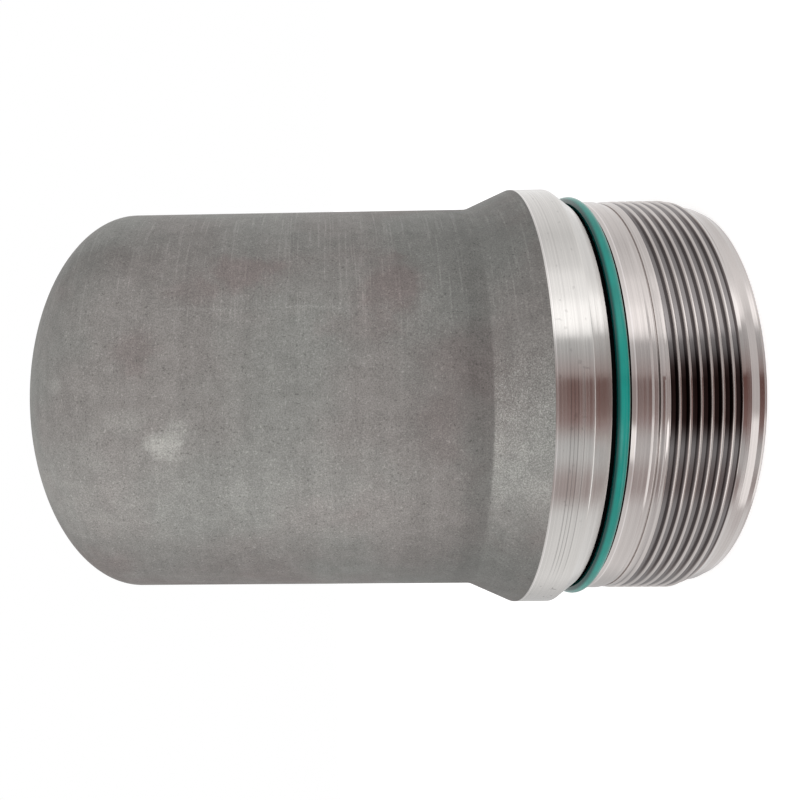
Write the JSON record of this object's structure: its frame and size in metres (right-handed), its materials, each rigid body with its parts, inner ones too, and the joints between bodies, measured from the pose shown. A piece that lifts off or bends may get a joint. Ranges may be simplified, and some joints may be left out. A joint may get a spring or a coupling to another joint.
{
  "type": "transmission accumulator",
  "caption": "Piston accumulator for a transmission: domed forged steel can with a threaded spigot, a green sealing ring, and a free piston between gas and oil.",
  "frame": {"origin": "centre of the open end face, on the can's axis, where the part stands", "axes": "+Z along the axis from the open threaded end to the dome; +Y is opposite the retaining ring's gap"},
  "size_m": [0.0724, 0.0724, 0.1132],
  "materials": {
    "shell_steel": "dull forged grey on the can, bright turned on the collar and spigot",
    "green_rubber": "smooth, lightly glossy",
    "spring_steel": "dark phosphated",
    "closing_steel": "turned and oiled",
    "piston_aluminium": "fine turned, anodised",
    "guide_plastic": "fabric-filled resin",
    "back_up_plastic": "smooth",
    "slipper_plastic": "bronze-filled, smooth",
    "black_rubber": "matt"
  },
  "bodies": {
    "can": {"shell": "shell_steel", "seat_o_ring": "green_rubber", "retaining_ring": "spring_steel", "closing_ball": "closing_steel", "closing_screw": "closing_steel"},
    "piston_set": {"piston": "piston_aluminium", "lower_guide_ring": "guide_plastic", "upper_guide_ring": "guide_plastic", "lower_back_up_ring": "back_up_plastic", "upper_back_up_ring": "back_up_plastic", "lobed_seal_ring": "black_rubber", "slipper_ring": "slipper_plastic", "energiser_ring": "black_rubber"}
  },
  "joints": [
    {"name": "piston_slide", "type": "slide", "parent": "can", "child": "piston_set", "axis": [0, 0, 1], "range_m": [0, 0.056]}
  ]
}
